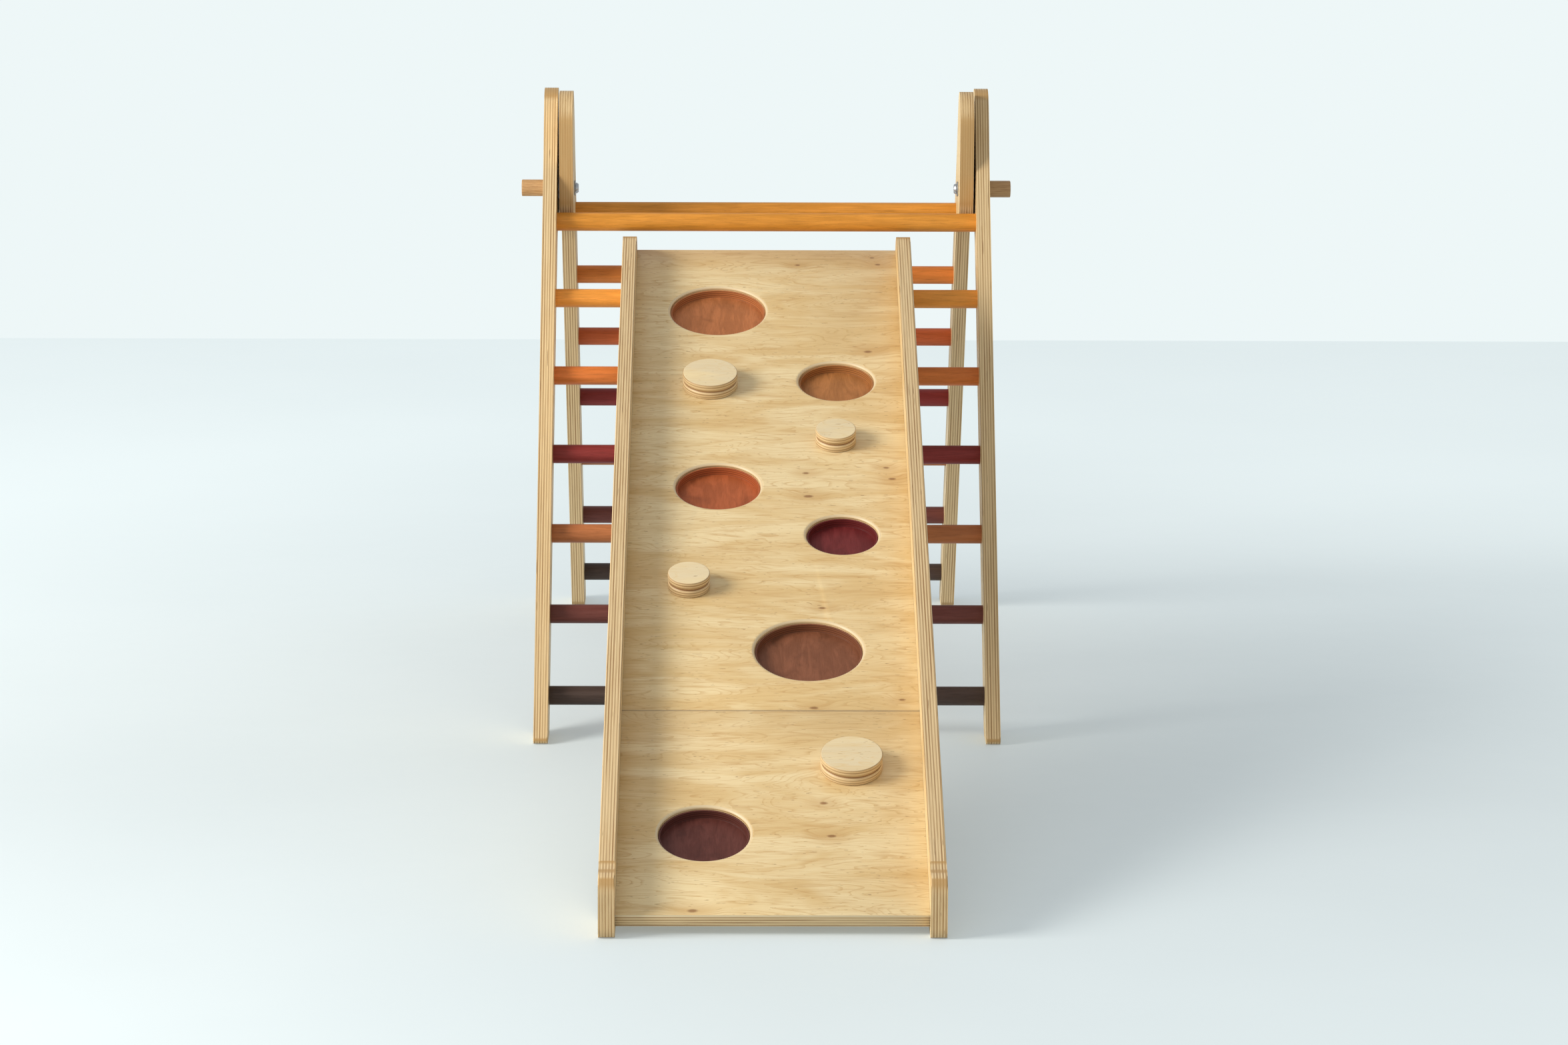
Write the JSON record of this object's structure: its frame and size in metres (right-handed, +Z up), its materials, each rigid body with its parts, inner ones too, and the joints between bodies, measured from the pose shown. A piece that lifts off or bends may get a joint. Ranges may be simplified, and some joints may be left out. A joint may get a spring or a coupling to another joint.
{
  "type": "toddler slide",
  "caption": "Folding wooden climbing frame of two ladders with coloured rungs, and a hooked-on slide board with round stained pockets and climbing holds.",
  "frame": {"origin": "on the floor, under the middle of the whole object's box", "axes": "+X across the slide, -Y the way a child slides down, +Z up"},
  "size_m": [0.6466, 1.936, 0.7767],
  "materials": {
    "birch_face": "satin clear-coated birch",
    "birch_ply": "satin clear-coated birch",
    "cup_chestnut": "stained and sealed wood",
    "cup_copper": "stained and sealed wood",
    "cup_crimson": "stained and sealed wood",
    "cup_ochre": "stained and sealed wood",
    "cup_plum": "stained and sealed wood",
    "cup_rust": "stained and sealed wood",
    "hold_ply": "satin clear-coated birch",
    "knob_wood": "satin clear-coated birch",
    "stain_amber": "stained and sealed wood",
    "stain_crimson": "stained and sealed wood",
    "stain_orange_red": "stained and sealed wood",
    "stain_plum": "stained and sealed wood",
    "stain_rust": "stained and sealed wood",
    "stain_tangerine": "stained and sealed wood",
    "stain_umber": "stained and sealed wood",
    "steel": "plain zinc-plated steel"
  },
  "bodies": {
    "front_ladder": {"front_rail_left": "birch_ply", "front_rail_right": "birch_ply", "front_rung_1": "stain_amber", "front_rung_2": "stain_tangerine", "front_rung_3": "stain_orange_red", "front_rung_4": "stain_crimson", "front_rung_5": "stain_rust", "front_rung_6": "stain_plum", "front_rung_7": "stain_umber", "pivot_bolt_left": "steel", "bolt_washer_left": "steel", "spacer_washer_left": "steel", "pivot_bolt_right": "steel", "bolt_washer_right": "steel", "spacer_washer_right": "steel"},
    "rear_ladder": {"rear_rail_left": "birch_ply", "rear_rail_right": "birch_ply", "rear_rung_1": "stain_amber", "rear_rung_2": "stain_tangerine", "rear_rung_3": "stain_orange_red", "rear_rung_4": "stain_crimson", "rear_rung_5": "stain_rust", "rear_rung_6": "stain_plum", "rear_rung_7": "stain_umber"},
    "slide": {"slide_rail_left": "birch_ply", "slide_rail_right": "birch_ply", "slide_board_upper": "birch_face", "slide_board_lower": "birch_face", "seam_batten": "birch_ply", "pocket_1_copper": "cup_copper", "pocket_2_ochre": "cup_ochre", "pocket_3_rust": "cup_rust", "pocket_4_crimson": "cup_crimson", "pocket_5_chestnut": "cup_chestnut", "pocket_6_plum": "cup_plum", "hold_1": "hold_ply", "hold_2": "hold_ply", "hold_3": "hold_ply", "hold_4": "hold_ply", "hold_1_screw": "steel", "hold_2_screw": "steel", "hold_3_screw": "steel", "hold_4_screw": "steel"},
    "knob_left": {"clamp_knob_left": "knob_wood"},
    "knob_right": {"clamp_knob_right": "knob_wood"}
  },
  "joints": [
    {"name": "ladder_fold", "type": "hinge", "parent": "front_ladder", "child": "rear_ladder", "pos_m": [0, 0.47987, 0.646], "axis": [1, 0, 0], "range_deg": [-64, 0]},
    {"name": "slide_lift", "type": "hinge", "parent": "front_ladder", "child": "slide", "pos_m": [0, 0.35801, 0.51528], "axis": [1, 0, 0], "range_deg": [-20, 0]},
    {"name": "knob_turn_left", "type": "hinge", "parent": "front_ladder", "child": "knob_left", "pos_m": [-0.308, 0.47987, 0.646], "axis": [-1, 0, 0], "continuous": true},
    {"name": "knob_turn_right", "type": "hinge", "parent": "front_ladder", "child": "knob_right", "pos_m": [0.308, 0.47987, 0.646], "axis": [1, 0, 0], "continuous": true}
  ]
}
